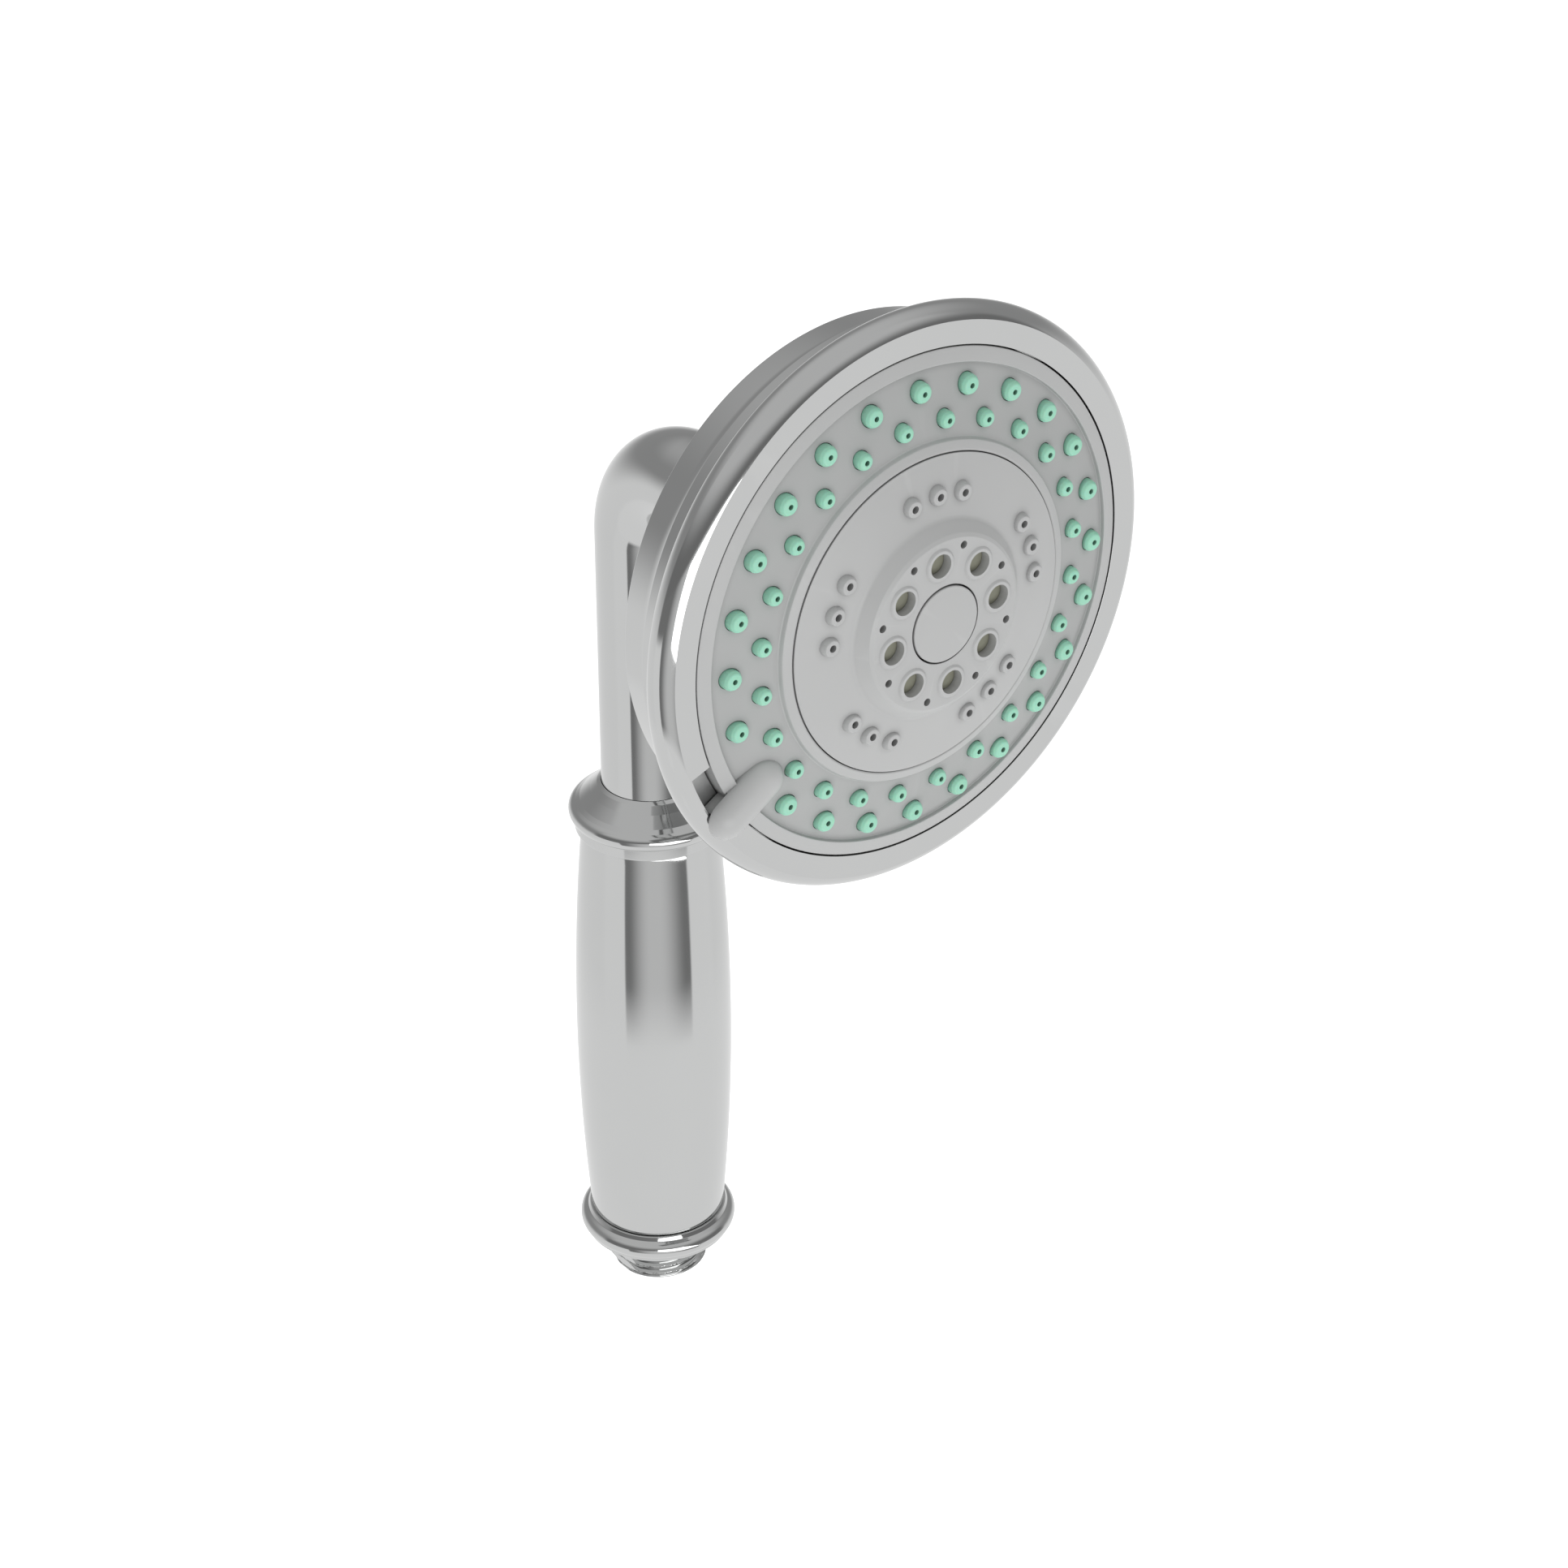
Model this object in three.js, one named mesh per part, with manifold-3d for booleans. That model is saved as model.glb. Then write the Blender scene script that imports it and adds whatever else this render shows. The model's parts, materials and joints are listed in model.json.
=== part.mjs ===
// Handheld shower head: barrel grip, gooseneck, round three-pattern head with a turning face.
// Millimetres. +Z runs up the grip, the origin is the centre of the inlet thread's end face,
// and the spray face looks along -Y.
import * as THREE from 'three';
import { mergeVertices } from 'three/addons/utils/BufferGeometryUtils.js';
import Module from 'manifold-3d';

const wasm = await Module();
wasm.setup();

// ---------------------------------------------------------------- driving dimensions
const FIT = 0.3; // running clearance between neighbouring pieces

// inlet: G1/2 male thread
const THREAD_MAJOR_R = 10.48;
const THREAD_MINOR_R = 9.32;
const THREAD_PITCH = 1.814;
const THREAD_LENGTH = 8.1;
const THREAD_FLAT_X = 9.45;
const INLET_BORE_R = 7.0;
const SHANK_R = 10.5;
const SHANK_TOP = 27;
const TUBE_SOCKET_R = 8.0;

// grip
const GRIP_MAX_R = 16.17;
const GRIP_MAX_Z = 61.2;
const GRIP_CURVE = 0.000948;
const GRIP_WALL = 2.0;
const GRIP_BOTTOM = 14.9;
const GRIP_TOP = 108.7;

// neck
const NECK_R = 9.7;
const NECK_BORE_R = 8.0;
const NECK_BOTTOM = 106;
const BEND_R = 16.2;
const NECK_END = 49.5; // forward of the grip axis, inside the back shell
const TUBE_R = 7.6;
const TUBE_BORE_R = 5.6;

// head: stations are distances forward of the grip axis
const HEAD_Z = 191.9;
const SHELL_R = 49.4;
const SHELL_EDGE = 60.3;
const DOME_R = 97.1;
const DOME_APEX = 46.8;
const SHELL_WALL = 1.7;
const BEAD_R = 3.14;
const BEAD_CENTRE_R = 52.9;
const BEAD_CENTRE = 76.4;
const BEZEL_BORE_R = 48.95;
const BEZEL_FRONT = 79.92;
const FACE_R = 48.4;
const SEAM_R = 30.4;
const HUB_R = 17.1;
const HUB_TOP = 88.75;
const HUB_WALL_BACK = 87.5;
const SHUTTER_FRONT = 87.0; // the turbine's slotted disc, close behind the hub wall
const CAP_R = 7.35;

// spray pattern
const RAIN_COUNT = 24;
const OUTER_RAIN_R = 42.0;
const INNER_RAIN_R = 36.4;
const JET_R = 23.8;
const TIP_RISE = 1.7; // silicone tips above the plate
const PLATE_WALL = 1.6;
const MASSAGE_COUNT = 8;
const MASSAGE_R = 12.2;
const MASSAGE_HOLE_R = 2.3;
const MASSAGE_PHASE = -7.5;
const MIST_R = 15.0;
const MIST_HOLE_R = 0.75;
const MIST_PHASE = 15;

// pattern lever and its window in the bezel
const LEVER_ANGLE = 237;
const LEVER_TRAVEL = 10;
const LEVER_ROOT_HALF = 3.2; // degrees
const LEVER_HALF = 3.4;
const LEVER_TIP_R = 55.0;
const LEVER_RISE = 3.6;
const CLICK = LEVER_TRAVEL / 2;
const PORT_R = 38;
const DETENT_R = 43;
const DETENT_ANGLE = 90;

// ---------------------------------------------------------------- materials
const finish = (color, roughness, metalness) =>
  new THREE.MeshStandardMaterial({ color, roughness, metalness });
const CHROME = finish(0xd9dcde, 0.08, 1.0);
const BRASS = finish(0xb8995a, 0.35, 1.0);
const STEEL = finish(0xa9adb0, 0.3, 1.0);
const SATIN = finish(0xbfc1c1, 0.38, 0.35);
const MINT = finish(0x8fdcbc, 0.55, 0.0);
const WHITE_PLASTIC = finish(0xe6e4dc, 0.5, 0.0);
const GREY_PLASTIC = finish(0x8f948a, 0.5, 0.0);
const RUBBER = finish(0x26282a, 0.8, 0.0);

// ---------------------------------------------------------------- solids
const radians = (degrees) => (degrees * Math.PI) / 180;

function solid(geometry) {
  const bare = geometry.clone();
  bare.deleteAttribute('normal');
  bare.deleteAttribute('uv');
  const merged = mergeVertices(bare, 1e-4);
  const index = merged.index.array;
  const kept = [];
  for (let i = 0; i < index.length; i += 3) {
    const [a, b, c] = [index[i], index[i + 1], index[i + 2]];
    if (a !== b && b !== c && c !== a) kept.push(a, b, c);
  }
  const vertices = new Float32Array(merged.attributes.position.array);
  let body = toManifold(vertices, kept);
  if (body.volume() < 0) body = toManifold(vertices, kept.reverse());
  return body;
}

function toManifold(vertProperties, triangles) {
  const triVerts = new Uint32Array(triangles);
  return new wasm.Manifold(new wasm.Mesh({ numProp: 3, vertProperties, triVerts }));
}

function geometryOf(body) {
  const mesh = body.asOriginal().simplify(0.01).getMesh();
  const geometry = new THREE.BufferGeometry();
  const position = new THREE.BufferAttribute(new Float32Array(mesh.vertProperties), 3);
  geometry.setAttribute('position', position);
  geometry.setIndex(new THREE.BufferAttribute(new Uint32Array(mesh.triVerts), 1));
  geometry.computeVertexNormals();
  return geometry;
}

const joined = (bodies) => bodies.reduce((sum, body) => sum.add(body));
const without = (body, cuts) => cuts.reduce((rest, cut) => rest.subtract(cut), body);

// a turned solid about Z from [radius, height] corners
function turned(profile, segments = 28) {
  const corners = [...profile];
  const open = corners[0][0] > 0 || corners.at(-1)[0] > 0;
  if (open) corners.push(corners[0]);
  const points = corners.map(([r, z]) => new THREE.Vector2(r, z));
  const lathe = new THREE.LatheGeometry(points, segments);
  lathe.rotateX(Math.PI / 2);
  return solid(lathe);
}

const rod = (r, z0, z1, segments = 20) =>
  turned([[0, z0], [r, z0], [r, z1], [0, z1]], segments);
const sleeve = (r0, r1, z0, z1, segments = 28) =>
  turned([[r0, z0], [r1, z0], [r1, z1], [r0, z1]], segments);

function box(x0, x1, y0, y1, z0, z1) {
  const shape = new THREE.BoxGeometry(x1 - x0, y1 - y0, z1 - z0);
  shape.translate((x0 + x1) / 2, (y0 + y1) / 2, (z0 + z1) / 2);
  return solid(shape);
}

function torus(major, minor, z, segments = 20, sides = 5) {
  const ring = [];
  for (let k = 0; k < sides; k += 1) {
    const a = (2 * Math.PI * k) / sides;
    ring.push([major + minor * Math.cos(a), z + minor * Math.sin(a)]);
  }
  return turned(ring, segments);
}

// points of a circular arc in a profile, angles in degrees from the radial direction
function arc(r, z, radius, from, to, steps) {
  const points = [];
  for (let k = 0; k <= steps; k += 1) {
    const a = radians(from + ((to - from) * k) / steps);
    points.push([r + radius * Math.cos(a), z + radius * Math.sin(a)]);
  }
  return points;
}

// a bar of the given section wound about Z, starting at height z
function coil(section, radius, pitch, turns, z, stepsPerTurn) {
  const shape = new THREE.Shape(section.map(([x, y]) => new THREE.Vector2(x, y)));
  const steps = Math.round(turns * stepsPerTurn);
  const bar = new THREE.ExtrudeGeometry(shape, { depth: 1, steps, bevelEnabled: false });
  const p = bar.attributes.position;
  for (let i = 0; i < p.count; i += 1) {
    const t = p.getZ(i) * turns;
    const r = radius + p.getX(i);
    const a = 2 * Math.PI * t;
    p.setXYZ(i, r * Math.cos(a), r * Math.sin(a), z + pitch * t + p.getY(i));
  }
  return solid(bar);
}

const wire = (r, sides = 6) =>
  Array.from({ length: sides }, (_, k) => {
    const a = (2 * Math.PI * k) / sides;
    return [r * Math.cos(a), r * Math.sin(a)];
  });

// head coordinates: clock angle 0 at the top, growing towards +X, z forward
const clockX = (r, angle) => r * Math.sin(radians(angle));
const clockY = (r, angle) => r * Math.cos(radians(angle));
const placed = (body, r, angle) => body.translate([clockX(r, angle), clockY(r, angle), 0]);
const clocked = (body, angle) => body.rotate([0, 0, -angle]);

// evenly spaced clock angles, and copies of a body standing on a circle
const clocks = (count, phase = 0) =>
  Array.from({ length: count }, (_, k) => phase + (360 * k) / count);
const circleOf = (body, count, r, phase = 0) =>
  clocks(count, phase).map((a) => placed(body, r, a));

// a wedge between two clock angles
function wedge(from, to, r0, r1, z0, z1) {
  const shape = new THREE.Shape();
  const steps = 8;
  for (let k = 0; k <= steps; k += 1) {
    const a = from + ((to - from) * k) / steps;
    if (k === 0) shape.moveTo(clockX(r1, a), clockY(r1, a));
    else shape.lineTo(clockX(r1, a), clockY(r1, a));
  }
  for (let k = steps; k >= 0; k -= 1) {
    const a = from + ((to - from) * k) / steps;
    shape.lineTo(clockX(r0, a), clockY(r0, a));
  }
  const block = new THREE.ExtrudeGeometry(shape, { depth: z1 - z0, bevelEnabled: false });
  block.translate(0, 0, z0);
  return solid(block);
}

// turns head coordinates into the part frame
const onHead = (body) => body.rotate([90, 0, 0]).translate([0, 0, HEAD_Z]);

// ---------------------------------------------------------------- handle
const gripRadius = (z) => GRIP_MAX_R - GRIP_CURVE * (z - GRIP_MAX_Z) ** 2;

function inletFitting() {
  const body = turned([
    [INLET_BORE_R, 0], [THREAD_MINOR_R - 0.3, 0], [THREAD_MINOR_R, 0.4],
    [THREAD_MINOR_R, THREAD_LENGTH], [SHANK_R, THREAD_LENGTH], [SHANK_R, SHANK_TOP],
    [TUBE_SOCKET_R, SHANK_TOP], [TUBE_SOCKET_R, 19.6], [5.4, 19.6], [5.4, 17], [INLET_BORE_R, 17],
  ]);
  const depth = THREAD_MAJOR_R - THREAD_MINOR_R;
  const ridge = [[-0.25, -0.78], [depth, 0], [-0.25, 0.78]];
  const turns = 3.6;
  const thread = coil(ridge, THREAD_MINOR_R, THREAD_PITCH, turns, 0.85, 12);
  const envelope = turned([
    [0, 0], [THREAD_MAJOR_R - 0.7, 0], [THREAD_MAJOR_R, 0.7], [THREAD_MAJOR_R, SHANK_TOP],
    [0, SHANK_TOP],
  ]);
  const flat = (side) => box(...[THREAD_FLAT_X, 14].map((x) => x * side).sort((a, b) => a - b),
    -12, 12, -1, THREAD_LENGTH - 0.6);
  return without(body.add(thread.intersect(envelope)), [flat(1), flat(-1)]);
}

function filterScreen() {
  const disc = rod(6.6, 0.8, 2.0);
  const hole = rod(0.85, 0, 3, 4);
  return without(disc, [hole, ...circleOf(hole, 5, 2.5), ...circleOf(hole, 10, 4.9)]);
}

function flowRestrictor() {
  const body = turned([[1.1, 2.4], [6.6, 2.4], [6.6, 4.9], [4.6, 4.9], [4.6, 3.8], [1.1, 3.8]], 20);
  return without(body, circleOf(rod(0.5, 2, 5, 5), 6, 3.0));
}

function checkValveBody() {
  const shell = turned([
    [3.2, 5.4], [6.6, 5.4], [6.6, 16.6], [5.2, 16.6], [5.2, 6.6], [3.2, 6.6],
  ], 20);
  const spokes = [0, 60, 120].map((a) => box(-5.6, 5.6, -0.6, 0.6, 15.6, 16.6).rotate([0, 0, a]));
  const guide = rod(2.4, 15.6, 16.6, 14);
  return joined([shell, guide, ...spokes]).subtract(rod(1.25, 15, 17, 10));
}

const checkValvePoppet = () => turned([
  [0, 6.9], [3.6, 6.9], [4.2, 7.5], [4.2, 8.2], [0.9, 8.2], [0.9, 16.0], [0, 16.0],
], 16);
const checkValveSpring = () => coil(wire(0.3, 4), 2.0, 1.36, 4.6, 8.85, 12);

const lowerCollar = () => turned([
  [10.9, 8.4], [14.4, 8.4], [15.2, 8.7], [15.5, 9.3],
  ...arc(14.35, 11.7, 2.23, -55, 62, 5),
  [15.0, 14.0], [14.4, 14.5], [11.7, 14.5], [11.7, 18.5], [10.9, 18.5],
]);

function gripSleeve() {
  const heights = [];
  for (let k = 0; k <= 9; k += 1) heights.push(GRIP_BOTTOM + ((GRIP_TOP - GRIP_BOTTOM) * k) / 9);
  const outer = heights.map((z) => [gripRadius(z), z]);
  const inner = heights
    .filter((_, k) => k % 3 === 0)
    .map((z) => [gripRadius(z) - GRIP_WALL, z])
    .reverse();
  return turned([...outer, ...inner]);
}

const groove = (z) => [[TUBE_R, z - 0.8], [6.4, z - 0.8], [6.4, z + 0.8], [TUBE_R, z + 0.8]];
const innerTube = () => turned([
  [TUBE_BORE_R, 20.1], [TUBE_R, 20.1], ...groove(24), ...groove(112),
  [TUBE_R, 118], [TUBE_BORE_R, 118],
], 20);
const tubeRing = (z) => torus(7.2, 0.48, z);

const upperCollar = () => turned([
  [10.1, 119.8], [10.1, 104.8], [11.6, 104.8], [11.6, 109.1], [14.9, 109.1], [15.3, 109.5],
  [15.3, 111.3], ...arc(14.6, 113.2, 1.9, -58, 58, 4),
  [15.2, 115.1], [14.2, 115.8], [12.0, 117.8], [10.5, 119.6],
]);

function elbow(radius) {
  const rise = HEAD_Z - BEND_R;
  const overlap = 0.02;
  const quarter = torus(BEND_R, radius, 0, 32, 28)
    .rotate([0, 90, 0])
    .translate([0, -BEND_R, rise])
    .intersect(box(-20, 20, -BEND_R, 20, rise, rise + 40));
  const stem = rod(radius, NECK_BOTTOM, rise + overlap, 28);
  const reach = onHead(rod(radius, BEND_R - overlap, NECK_END, 28));
  return joined([quarter, stem, reach]);
}

function neckElbow() {
  const ends = [
    rod(NECK_BORE_R, NECK_BOTTOM - 1, NECK_BOTTOM + 1, 28),
    onHead(rod(NECK_BORE_R, NECK_END - 1, NECK_END + 1, 28)),
  ];
  return without(elbow(NECK_R), [elbow(NECK_BORE_R), ...ends]);
}

// ---------------------------------------------------------------- head, fixed pieces
const dome = (r) => DOME_APEX + DOME_R - Math.sqrt(DOME_R ** 2 - r ** 2);

function backShell() {
  const outer = [15, 26, 38].map((r) => [r, dome(r)]);
  const inner = [15, 32, 47.8].map((r) => [r, dome(r) + SHELL_WALL]);
  return onHead(turned([
    [10.1, 44.3], [12.6, 44.3], [13.0, 44.8], [13.0, 47.0], ...outer,
    [SHELL_R, SHELL_EDGE], [SHELL_R, 64.8], [49.8, 66.8], [50.9, 68.3],
    [52.0, 69.0], [52.0, 71.2], [47.8, 71.2],
    ...inner.reverse(), [10.1, dome(15) + SHELL_WALL],
  ], 40));
}

function bezelRing() {
  const ring = turned([
    [BEZEL_BORE_R, BEZEL_FRONT], [BEZEL_BORE_R, 72.0], [45.9, 72.0], [45.9, 65.5], [47.4, 65.5],
    [47.4, 71.5], [52.0, 71.5], [52.4, 72.6], [53.3, 73.4],
    ...arc(BEAD_CENTRE_R, BEAD_CENTRE, BEAD_R, -60, 90, 5),
  ], 44);
  const from = LEVER_ANGLE - LEVER_ROOT_HALF - 0.3;
  const to = LEVER_ANGLE + LEVER_ROOT_HALF + LEVER_TRAVEL + 0.3;
  return onHead(ring.subtract(wedge(from, to, 47.9, 53.1, 75.2, 90)));
}

function distributorBody() {
  const body = turned([
    [0, 72.5], [2.0, 72.5], [2.0, 84.0], [4.2, 84.0], [4.2, 70], [45.2, 70], [45.2, 63.8],
    [40, 60.8], [18, 54.2], [10, 51.6], [TUBE_R, 50], [TUBE_R, 37.8], [6.4, 37.8], [6.4, 36.2],
    [TUBE_R, 36.2], [TUBE_R, 30], [5.5, 30], [5.5, 50.8], [15, 55.2], [38, 62.2], [41, 64.4],
    [41, 67], [0, 67],
  ], 28);
  const ports = circleOf(rod(1.4, 66, 71, 8), 3, PORT_R);
  const pocket = placed(rod(1.6, 65, 71, 12), DETENT_R, DETENT_ANGLE);
  return onHead(without(body, [...ports, pocket]));
}

const spigotRing = () => onHead(torus(7.2, 0.48, 37));
const axleRing = () => onHead(torus(5.6, 0.65, 71));

function selectorSeal() {
  const flat = sleeve(34.8, 41.1, 70.3, 71.7, 32);
  return onHead(without(flat, circleOf(rod(1.7, 70, 72, 8), 3, PORT_R)));
}

function detentBall() {
  const ball = new THREE.SphereGeometry(1.25, 12, 8);
  ball.translate(0, 0, 70.9);
  return onHead(placed(solid(ball), DETENT_R, DETENT_ANGLE));
}

const detentSpring = () =>
  onHead(placed(coil(wire(0.22, 4), 0.95, 0.86, 4.2, 65.45, 10), DETENT_R, DETENT_ANGLE));

// ---------------------------------------------------------------- head, turning pieces
function manifoldDuct(angle, to) {
  const duct = box(-1.3, 1.3, to - 1.3, PORT_R + 1.3, 73.2, 75.0);
  const riser = box(-1.3, 1.3, to - 1.3, to + 1.3, 73.2, 78);
  return clocked(duct.add(riser), angle);
}

function sprayManifold() {
  const disc = turned([
    [4.6, 72.0], [46.6, 72.0], [46.6, 77.2], [45.5, 77.2], [45.5, 76.0], [33.6, 76.0],
    [33.6, 80.1], [32.1, 80.1], [32.1, 76.0], [30.4, 76.0], [30.4, 80.1], [28.9, 80.1],
    [28.9, 76.0], [17.6, 76.0], [17.6, 80.1], [16.2, 80.1], [16.2, 76.0], [4.6, 76.0],
  ], 28);
  const rainPort = placed(rod(1.6, 71, 77, 8), PORT_R, 0);
  const jetPort = placed(rod(1.6, 71, 74, 8), PORT_R, 120 - CLICK);
  const massagePort = placed(rod(1.6, 71, 74, 8), PORT_R, 240 - LEVER_TRAVEL);
  const seats = [0, CLICK, LEVER_TRAVEL].map((a) => {
    const ball = new THREE.SphereGeometry(1.5, 8, 6);
    ball.translate(0, 0, 71.4);
    return placed(solid(ball), DETENT_R, DETENT_ANGLE - a);
  });
  const ends = [DETENT_ANGLE - LEVER_TRAVEL - 2.4, DETENT_ANGLE + 2.4];
  const track = wedge(...ends, DETENT_R - 1.6, DETENT_R + 1.6, 71, 72.45);
  return onHead(without(disc, [
    rainPort, jetPort, massagePort, track, ...seats,
    manifoldDuct(120 - CLICK, 23.5), manifoldDuct(240 - LEVER_TRAVEL, 11.5),
  ]));
}

function jetRing() {
  const ring = sleeve(7.6, 15.8, 76.4, 77.6, 28);
  const slot = box(-0.7, 0.7, 10, 14.5, 76, 78);
  const slots = [30, 90, 150, 210, 270, 330].map((a) => clocked(slot, a));
  return onHead(without(ring, slots));
}

// vaned rotor; its front disc covers the massage holes except where its two slots pass
function turbineRotor() {
  const discBack = SHUTTER_FRONT - 1.2;
  const hub = turned([
    [4.6, 78.2], [6.2, 78.2], [6.2, 82.6], [10.8, 82.6], [10.8, discBack], [15.4, discBack],
    [15.4, SHUTTER_FRONT], [9.6, SHUTTER_FRONT], [9.6, 83.8], [4.6, 83.8],
  ], 28);
  const inner = box(-0.5, 0.5, 5.8, 14.6, 78.6, 83);
  const outer = box(-0.5, 0.5, 10, 14.6, 78.6, discBack + 0.4);
  const vane = inner.add(outer).rotate([0, 0, 12]);
  const vanes = clocks(MASSAGE_COUNT).map((a) => clocked(vane, a));
  const slots = [MIST_PHASE, MIST_PHASE + 180].map((a) =>
    wedge(a - 10.5, a + 10.5, 11.2, 14.2, discBack - 0.3, SHUTTER_FRONT + 0.3));
  return onHead(without(joined([hub, ...vanes]), slots));
}

// front surface of the recessed ring between the light border and the inner lip
const recess = (r) => 79.6 + (2.8 * (45.7 - r)) / 12.5;

// the two rows of silicone nozzles; the lever stands where one outer nozzle would be
const underLever = (angle) => Math.abs(angle - LEVER_ANGLE) < 5;
const RAIN_ROWS = [
  { at: OUTER_RAIN_R, r: 1.95, angles: clocks(RAIN_COUNT).filter((a) => !underLever(a)) },
  { at: INNER_RAIN_R, r: 1.65, angles: clocks(RAIN_COUNT, 7.5) },
];

// rounded thumb lever: a capsule along the radius, its inner end sinking into the recess
function leverBlock() {
  const inner = 36.8;
  const length = LEVER_TIP_R - inner;
  const bar = new THREE.CapsuleGeometry(LEVER_HALF, length - 2 * LEVER_HALF, 4, 14);
  bar.scale(1, 1, LEVER_RISE / LEVER_HALF);
  bar.translate(0, inner + length / 2, 80.1);
  const above = turned([
    [30, recess(30) - 0.8], [45.7, recess(45.7) - 0.8], [48.2, 78.9], [48.2, 80.25],
    [60, 80.25], [60, 90], [30, 90],
  ]);
  const cap = solid(bar).intersect(above);
  const root = wedge(-LEVER_ROOT_HALF, LEVER_ROOT_HALF, 47.6, 52.7, 75.5, 81.0);
  return clocked(cap.add(root), LEVER_ANGLE);
}

function facePlate() {
  const disc = turned([
    [FACE_R, 72.4], [FACE_R, 79.7], [48.2, 79.95], [45.9, 80.46], [45.7, 79.6],
    [33.2, recess(33.2)], [33.0, 83.3], [31.0, 83.85], [30.7, 83.7], [30.7, 80.9],
    [33.0, recess(33) - PLATE_WALL], [45.4, recess(45.4) - PLATE_WALL], [46.9, 77.6], [46.9, 72.4],
  ], 48);
  const holes = RAIN_ROWS.flatMap(({ at, r, angles }) =>
    angles.map((a) => placed(rod(r + 0.5, 76, 84, 6), at, a)));
  const facets = clocked(disc, 180 / 48); // each hole falls inside one facet
  return onHead(without(facets, holes).add(leverBlock()));
}

// silicone tip with its bore, standing on the mat at the given height
function rainTip(r, z0, z1) {
  return turned([[0, z0], [r, z0], [r, z1 - 1.0], [0.5 * r, z1], [0, z1]], 5);
}

function nozzleMat() {
  const back = (r) => recess(r) - PLATE_WALL - FIT;
  const sheet = turned([
    [33.9, back(33.9) - 1.2], [45.2, back(45.2) - 1.2], [45.2, back(45.2)], [33.9, back(33.9)],
  ], 48).rotate([0, 0, 180 / 48]);
  const tips = [];
  const bores = [];
  for (const { at, r, angles } of RAIN_ROWS) {
    const top = recess(at) + TIP_RISE;
    const tip = rainTip(r, back(at) - 0.9, top);
    const bore = rod(0.5, back(at) - 3, top + 1, 4);
    tips.push(...angles.map((a) => placed(tip, at, a)));
    bores.push(...angles.map((a) => placed(bore, at, a)));
  }
  return onHead(without(joined([sheet, ...tips]), bores));
}

function centerPlate() {
  const disc = turned([
    [SEAM_R, 80.4], [SEAM_R, 83.95], [24, 85.2], [19.0, 86.2],
    [HUB_R, 88.2], [16.6, 88.7], [CAP_R + FIT, HUB_TOP], [CAP_R + FIT, 85.6], [2.4, 85.6],
    [2.4, 84.3], [9.2, 84.3], [9.2, HUB_WALL_BACK], [16.2, HUB_WALL_BACK], [16.2, 80.4],
    [17.6, 80.4], [17.6, 84.4],
    [20, 84.4], [28.9, 82.4], [28.9, 80.4],
  ], 32);
  const rim = rod(MASSAGE_HOLE_R + 0.55, 88.2, HUB_TOP + 0.35, 8);
  const rims = circleOf(rim, MASSAGE_COUNT, MASSAGE_R, MASSAGE_PHASE);
  const clock = [];
  for (let group = 0; group < 5; group += 1) {
    for (const step of [-14, 0, 14]) clock.push(72 * group + 1 + step);
  }
  const tip = turned([[0, 84.6], [1.4, 84.6], [1.1, 86.3], [0, 86.3]], 6);
  const tips = clock.map((a) => placed(tip, JET_R, a));
  const cuts = [
    ...circleOf(rod(MASSAGE_HOLE_R, 86, 90, 8), MASSAGE_COUNT, MASSAGE_R, MASSAGE_PHASE),
    ...circleOf(rod(MIST_HOLE_R, 86, 90, 5), MASSAGE_COUNT, MIST_R, MIST_PHASE),
    ...clock.map((a) => placed(rod(0.55, 82, 88, 4), JET_R, a)),
  ];
  return onHead(without(joined([disc, ...rims, ...tips]), cuts));
}

const centerScrew = () => onHead(without(
  turned([[0, 73.4], [1.6, 73.4], [1.6, 85.9], [3.9, 85.9], [3.9, 87.0], [3.2, 87.4], [0, 87.4]], 16),
  [box(-2.2, 2.2, -0.45, 0.45, 86.5, 88), box(-0.45, 0.45, -2.2, 2.2, 86.5, 88)],
));
const centerCap = () => onHead(turned([
  [0, 87.8], [5.4, 87.8], [5.4, 86.0], [CAP_R, 86.0], [CAP_R, 88.75], [7.0, 89.0], [0, 89.15],
], 28));

// ---------------------------------------------------------------- assembly
const PIECES = [
  ['inlet_fitting', inletFitting, CHROME],
  ['filter_screen', filterScreen, STEEL],
  ['flow_restrictor', flowRestrictor, GREY_PLASTIC],
  ['check_valve_body', checkValveBody, WHITE_PLASTIC],
  ['check_valve_poppet', checkValvePoppet, GREY_PLASTIC],
  ['check_valve_spring', checkValveSpring, STEEL],
  ['lower_collar', lowerCollar, CHROME],
  ['grip_sleeve', gripSleeve, CHROME],
  ['inner_tube', innerTube, BRASS],
  ['lower_tube_oring', () => tubeRing(24), RUBBER],
  ['upper_tube_oring', () => tubeRing(112), RUBBER],
  ['upper_collar', upperCollar, CHROME],
  ['neck_elbow', neckElbow, CHROME],
  ['back_shell', backShell, CHROME],
  ['bezel_ring', bezelRing, CHROME],
  ['distributor_body', distributorBody, WHITE_PLASTIC],
  ['spigot_oring', spigotRing, RUBBER],
  ['axle_oring', axleRing, RUBBER],
  ['selector_seal', selectorSeal, RUBBER],
  ['detent_ball', detentBall, STEEL],
  ['detent_spring', detentSpring, STEEL],
  ['spray_manifold', sprayManifold, WHITE_PLASTIC],
  ['jet_ring', jetRing, GREY_PLASTIC],
  ['turbine_rotor', turbineRotor, GREY_PLASTIC],
  ['nozzle_mat', nozzleMat, MINT],
  ['face_plate', facePlate, SATIN],
  ['center_plate', centerPlate, SATIN],
  ['center_screw', centerScrew, STEEL],
  ['center_cap', centerCap, SATIN],
];

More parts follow.
